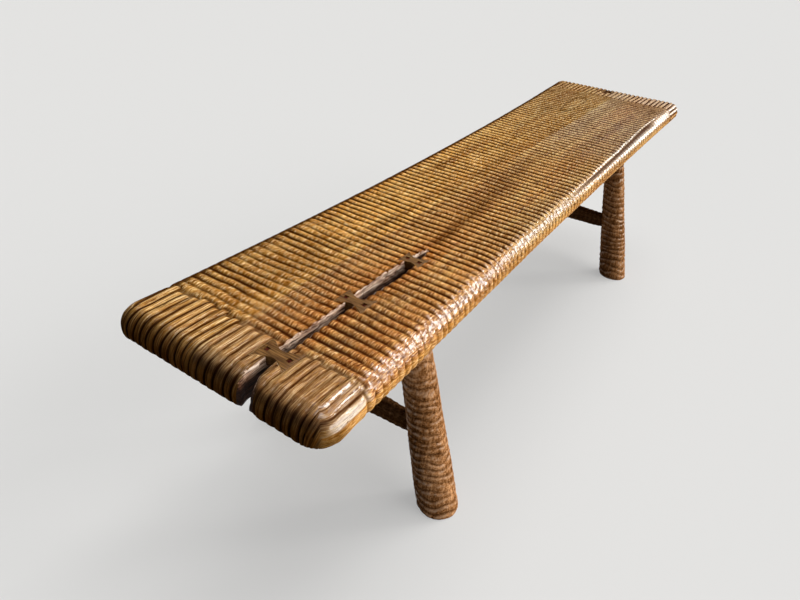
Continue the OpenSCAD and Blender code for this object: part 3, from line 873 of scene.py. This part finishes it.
def stain_and_shade_values(at):
    x, y = at.x, at.y
    check = 0.75 * bell(at.gap, 0.01 + 0.016 * at.reach) * smooth(0, 0.06, at.reach)
    check = check * (1 - at.reach) ** 0.8
    # Painted shade along the split's banks
    split = 0.7 * bell(at.off_split, 0.004) * smooth(-0.44, -0.46, x)
    by_openings = largest(check, split, 0.93 * at.facet) * (1 - 0.9 * at.lip)
    before_band = smooth(0.58, 0.7, x) * smooth(FAR_BAND + 0.006, FAR_BAND - 0.004, x)
    before_band = (0.34 + 0.22 * noise(x / 0.03, y / 0.03, 75)) * before_band
    arris = 0.42 * at.arris * smooth(0.2, -0.1, x)
    return np.clip(largest(by_openings, 0.9 * knot(x, y) * (at.sunk < 0.03), streaks(x, y),
                           before_band, 0.7 * swirl(x, y), 0.1 * at.far_band,
                           0.27 * at.near_right, arris), 0, 1)


def ember_values(at):
    """Redder wood by the split and the check, along the right edge and on the sides."""
    x, y = at.x, at.y
    split = bell(at.off_split, 0.035) * smooth(-0.38, -0.45, x) * smooth(-0.8, -0.72, x)
    check = 0.8 * bell(at.gap, 0.05) * smooth(-0.5, -0.42, x) * (1 - at.reach)
    strip = smooth(-0.1, -0.15, y) * smooth(-0.756, -0.745, x) * smooth(-0.25, -0.45, x)
    strip = strip * (0.6 + 0.3 * smooth(-0.5, -0.66, x))
    far_right = 0.35 * smooth(0.4, 0.6, x) * smooth(0, -0.08, y)
    on_top = largest(split, check, strip, 0.45 * at.near_right, far_right)
    ember = on_top * (1 - at.below_round) + 0.33 * at.below_round
    return np.clip(0.75 * ember, 0, 1)


def end_values(at):
    """Dark end grain at both ends, also painted shade at the near end, and painted shade on the
    lower near corner; none of it on the worn near right corner.
    """
    near = smooth(-half_length + 0.033, -half_length + 0.005, at.x)
    # Painted shade on the lower part of the near corner
    turned_down_shade = 0.8 * smooth(0.007, 0.02, at.sunk) * smooth(-0.78, -0.812, at.x)
    far_rim = 0.6 * smooth(0.796, 0.826, at.x) * smooth(-0.185, -0.17, at.y)
    worn = at.worn_corner * (at.sunk < 0.02)
    return largest(near, turned_down_shade, far_rim) * (1 - worn)


def dim_values(at):
    """Browner wood at the near end, along the right edge, at the far end and on the round, with the
    near end's round painted lighter as if lit.
    """
    x, y = at.x, at.y
    right = (0.54 + 0.41 * smooth(0, 0.3, x)) * at.right_edge
    near_share = smooth(-0.73, -0.76, x)
    # The near end's round is painted lighter, as if lit, and the near band's left part is less dim
    near_light_and_lift = largest(0.8 * at.rounded, 0.25 * smooth(0.03, 0.12, y)) * near_share
    dim = largest(smooth(-0.38, -0.62, x), right, 0.45 * smooth(0.2, 0.7, x)) - near_light_and_lift
    dim = dim + 0.5 * smooth(FAR_BAND - 0.004, FAR_BAND + 0.004, x)
    dim = largest(dim, 0.6 * at.rounded * (1 - near_share), at.arris)
    return dim * (1 - at.below_round) + 0.2 * at.below_round


def bleach_and_highlight_values(at):
    """Pale worn wood on the far band and the near right corner, where it is partly a painted
    highlight, and painted highlights on the facet's lip and along the arris.
    """
    x, y = at.x, at.y
    patchy = (0.04 + 0.3 * smooth(0.09, -0.1, y)) * (1 + 0.6 * noise(x / 0.06, y / 0.014, 74))
    bands = patchy * at.far_band + 0.05 * at.rounded * at.near_band
    # Along the right arris the paler wood is a painted highlight, stronger towards the far end
    arris = at.arris * (0.15 + 0.6 * smooth(0, 0.4, x))
    bleach_and_highlight = largest(bands, 0.8 * at.worn_corner, 0.9 * at.lip, 0.5 * at.facet, arris)
    return bleach_and_highlight * (at.sunk < 0.02)


def pale_values(at):
    """Cooler, paler wood on the far half, and an olive cast on the near band."""
    far = smooth(0.05, 0.6, at.x) * (1 - 0.6 * at.right_edge)
    olive = 0.7 * smooth(-0.72, -0.77, at.x) * (1 - 0.9 * smooth(0.09, 0.13, at.y))
    return largest(far, olive * at.flat_top)


def paint_slab(slab):
    """The slab's paint values, and which of its faces are wall or underside."""
    mesh = slab.data
    at = Areas(*read_triples(mesh.vertices, "co").T)
    set_values(slab, "stain", stain_and_shade_values(at))
    set_values(slab, "ember", ember_values(at))
    set_values(slab, "end_grain_and_shade", end_values(at))
    set_values(slab, "dim", dim_values(at))
    set_values(slab, "bleach_and_highlight", bleach_and_highlight_values(at))
    set_values(slab, "band", at.near_band * (1 - 0.5 * smooth(-0.188, -0.195, at.y)))
    # Painted shade on the split's walls, darker further below the top
    set_values(slab, "painted_split_shade", smooth(0.008, 0.021, at.sunk))
    set_values(slab, "pale", pale_values(at))

    x, y, z = read_triples(mesh.polygons, "center").T
    facing_up = read_triples(mesh.polygons, "normal")[:, 2]
    left, right = split_banks(x)
    wall = (y < left + 0.0015) & (y > right - 0.0015) & (x < SPLIT_X[-1])
    wall &= (np.abs(facing_up) < 0.75) | (z < seat_top - 0.01)
    wall &= np.abs(x + half_length) > 0.002
    below = (facing_up < -0.99) & (z < underside + PICK_RANGE) & ~wall
    mesh.polygons.foreach_set("material_index", (wall + 2 * below).astype(np.int32))


def scallops(turn, z, seed):
    """Depth, groove tone, partly painted shade, and pale lips, a painted highlight, of the rows of
    gouge marks round a leg.
    """
    lift = 1.1 * ring_noise(turn, z / 0.08, 4, seed + 3) + 0.5 * ring_noise(turn, z / 0.02, 9, seed)
    level = z / SCALLOP_PITCH + lift
    row = np.floor(level)
    q = level - row
    bulge = np.sin(math.pi * q ** 0.8) ** 0.7
    strength = 1 + 0.6 * ring_noise(turn + row * 0.37, row * 1.3, 7, seed + 4)
    stroke = ring_noise(turn, z / 0.0036 + 5 * np.sin(2 * math.pi * turn), 40, seed + 6)
    depth = SCALLOP_DEPTH * strength * (1 - bulge)
    depth += 0.0012 * (1 + ring_noise(turn, z / 0.05, 6, seed + 5))
    depth += 0.0006 * (1 + stroke)
    tone = (1 - bulge) * np.clip(strength, 0.3, 1.3) - 0.4 * stroke
    lip = smooth(0.3, 0.65, q) * smooth(0.97, 0.72, q) * (0.55 - 0.6 * stroke)
    return depth, tone, lip


def build_leg(node, seed, material):
    """Tapering leg from its CAD node's foot to its rim under the slab, gouged all round."""
    corners = read_triples(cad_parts[node].data.vertices, "co")
    foot = corners[corners[:, 2] < PICK_RANGE]
    top = corners[np.abs(corners[:, 2] - underside) < PICK_RANGE]
    centre_x, centre_y = (foot.min(axis=0) + foot.max(axis=0))[:2] / 2
    lean = -np.sign(centre_y) * math.tan(LEG_SPLAY)
    reach = np.hypot(top[:, 0] - centre_x, top[:, 1] - centre_y - lean * underside)
    foot_radius = (foot[:, 0].max() - foot[:, 0].min()) / 2
    waist_radius = foot_radius * LEG_WAIST
    top_radius = reach.max() * math.cos(LEG_SPLAY)

    around = np.linspace(0, 2 * math.pi, LEG_POINTS, endpoint=False)
    angle, z = np.meshgrid(around, np.linspace(0, underside - 0.0002, LEG_RINGS))
    t = z / underside
    radius = foot_radius * (1 - 2 * t) * (1 - t) + waist_radius * 4 * t * (1 - t)
    radius = radius + top_radius * t * (2 * t - 1)
    depth, tone, lip = scallops(angle / (2 * math.pi), z, seed)
    radius = radius - depth - FOOT_DRAW * (1 - smooth(0, FOOT_ROUND, z)) ** 2
    x = centre_x + radius * np.cos(angle)
    y = centre_y + lean * z + radius / math.cos(LEG_SPLAY) * np.sin(angle)
    leg = add_tube(node + "_carved", np.stack([x, y, z], axis=-1), [material], flipped=True)
    set_values(leg, "groove", tone)
    set_values(leg, "lip", lip)
    finish_shading(leg, 50)
    return leg


def build_stretcher(node, seed, material):
    """Whittled bar between two legs, deepest at its middle."""
    low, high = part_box(node)
    t = np.linspace(-1, 1, BAR_RINGS)[:, None]
    angle = np.linspace(0, 2 * math.pi, BAR_POINTS, endpoint=False)[None, :]
    y = t * (high.y - low.y) / 2
    level = y / HOLLOW_PITCH + 0.3 * noise(angle * 1.6, y / 0.05, seed)
    q = level - np.floor(level)
    hollow = np.sin(math.pi * q) ** 0.8
    depth = HOLLOW_DEPTH * hollow + 0.0006 * (1 + noise(y / 0.03, angle * 1.2, seed + 1))
    c, s, power = np.cos(angle), np.sin(angle), BAR_SQUARENESS
    squared = 1 / (np.abs(c) ** power + np.abs(s) ** power) ** (1 / power)
    thickness = BAR_THICKNESS + BAR_THICKNESS_GAIN * (1 - t * t)
    height = BAR_HEIGHT + BAR_HEIGHT_GAIN * (1 - t * t)
    x = (low.x + high.x) / 2 + (thickness - depth) * c * squared
    z = (low.z + high.z) / 2 + (height - depth) * s * squared
    rings = np.stack([x, np.broadcast_to(y, x.shape), z], axis=-1)
    bar = add_tube(node + "_whittled", rings, [material])
    # Groove tone, partly painted shade, and a painted highlight on the lip of each hollow
    set_values(bar, "groove", hollow * 0.8)
    set_values(bar, "lip", smooth(0.9, 1.0, q) * 0.5)
    finish_shading(bar, 50)
    return bar


def show(piece, node):
    """The piece stands for its CAD node and rides on the bench."""
    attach(piece, "root")
    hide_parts(node)


def build_bench():
    slab = build_slab()
    cut(slab, [split_cutter()])
    pieces = build_keys(slab)
    paint_slab(slab)
    finish_shading(slab, 38)
    show(slab, "seat_slab")
    for piece, slot, node in pieces:
        show(piece, node)
    leg_wood = leg_material("teak_leg", LEG_LIGHTNESS, LEG_CELLS)
    bar_wood = leg_material("teak_stretcher", BAR_LIGHTNESS, BAR_CELLS)
    for order, node in enumerate(("leg_near_right", "leg_near_left", "leg_far_right",
                                  "leg_far_left")):
        show(build_leg(node, 100 + 20 * order, leg_wood), node)
    for order, node in enumerate(("stretcher_near", "stretcher_far")):
        show(build_stretcher(node, 300 + 20 * order, bar_wood), node)


# Camera fitted to the photograph, with the seat 450 mm high: its yaw, pitch and roll in degrees
CAMERA_PLACE = (-1.1382, -0.4561, 0.8722)
CAMERA_TURN = (31.58, 33.55, 4.57)
CAMERA_LENS = 26.33


def add_camera():
    data = bpy.data.cameras.new("photo_camera")
    data.lens = CAMERA_LENS
    data.clip_end = 200
    camera = bpy.data.objects.new("photo_camera", data)
    scene.collection.objects.link(camera)
    yaw, pitch, roll = (math.radians(angle) for angle in CAMERA_TURN)
    heading = Matrix.Rotation(yaw - math.pi / 2, 4, "Z")
    tilt = Matrix.Rotation(math.pi / 2 - pitch, 4, "X")
    place = Matrix.Translation(CAMERA_PLACE)
    camera.matrix_world = place @ heading @ tilt @ Matrix.Rotation(roll, 4, "Z")
    scene.camera = camera


# Studio light: a dim room with one broad pale panel ahead, and these lamps: name, azimuth and
# elevation of the place it shines from, strength and apparent width in degrees
LAMPS = (("overhead_box", 0, 83, 1.32, 44), ("side_lamp", -74, 18, 2.95, 56),
         ("strip_low", -38, 14, 0.36, 10), ("strip_near", -38, 25, 0.6, 11),
         ("strip_high", -37, 36, 0.36, 10), ("strip_middle", -27, 17, 0.37, 11),
         ("strip_far", -17, 10, 0.29, 16), ("corner_lamp", -12, 54, 0.6, 13))
LAMP_COLOUR = (1.0, 0.985, 0.96)
ROOM_COLOUR = (1.0, 0.99, 0.97, 1.0)
ROOM_LEVEL = 0.05
# The backdrop as the camera and clear things see it, and the share of it that glossy skins show
BACKDROP_LEVEL = 0.78
GLOSSY_SHARE = 0.3
PANEL_LEVEL, PANEL_AZIMUTH, PANEL_ELEVATION = 1.6, 5, 55
# The panel fades out between these angles from its middle
PANEL_INNER, PANEL_OUTER = 20, 34
FLOOR_SIDE = 120.0
FLOOR_COLOUR = (0.27, 0.27, 0.269)
FLOOR_GLOW = (0.386, 0.387, 0.385)


def towards(azimuth, elevation):
    """Unit vector from the bench towards a place in the studio."""
    a, e = math.radians(azimuth), math.radians(elevation)
    return (math.cos(e) * math.cos(a), math.cos(e) * math.sin(a), math.sin(e))


def add_room():
    """Dim room with its panel, in front of a pale backdrop that casts no light."""
    scene.view_settings.view_transform = "Standard"
    scene.world = bpy.data.worlds.new("studio")
    nodes = Nodes(scene.world)
    direction = nodes.add("ShaderNodeTexCoord").outputs["Generated"]
    facing = nodes.add("ShaderNodeVectorMath")
    facing.operation = "DOT_PRODUCT"
    nodes.fill(facing, {0: direction, 1: towards(PANEL_AZIMUTH, PANEL_ELEVATION)})
    level = nodes.span(facing.outputs["Value"], math.cos(math.radians(PANEL_OUTER)),
                       math.cos(math.radians(PANEL_INNER)), ROOM_LEVEL, PANEL_LEVEL, "SMOOTHSTEP")
    backdrop = nodes.times(nodes.shown(GLOSSY_SHARE), BACKDROP_LEVEL)
    nodes.fill(nodes.tree.nodes["Background"], {
        "Color": ROOM_COLOUR, "Strength": nodes.largest(backdrop, level)})


def add_lamps():
    for name, azimuth, elevation, strength, width in LAMPS:
        data = bpy.data.lights.new(name, "SUN")
        data.energy = strength
        data.angle = math.radians(width)
        data.color = LAMP_COLOUR
        lamp = bpy.data.objects.new(name, data)
        scene.collection.objects.link(lamp)
        lamp.rotation_euler = (0.0, math.radians(90 - elevation), math.radians(azimuth))


def add_floor():
    """Plain floor that keeps the bench's shadow and looks as pale as the backdrop."""
    paint = Paint("studio_floor", 0.9, 0.0)
    paint.shader.inputs["Base Color"].default_value = (*FLOOR_COLOUR, 1.0)
    glow = paint.add("ShaderNodeEmission", {
        "Color": (*FLOOR_GLOW, 1.0), "Strength": paint.shown(1.0)})
    both = paint.add("ShaderNodeAddShader", {
        0: paint.shader.outputs["BSDF"], 1: glow.outputs["Emission"]})
    paint.fill(paint.tree.nodes["Material Output"], {"Surface": both.outputs["Shader"]})
    corners = np.column_stack([square(FLOOR_SIDE, 0, 0, 0), np.zeros(4)])
    add_mesh("studio_floor", corners, [(0, 1, 2, 3)], (), [paint.material])


build_bench()
add_camera()
add_room()
add_lamps()
add_floor()
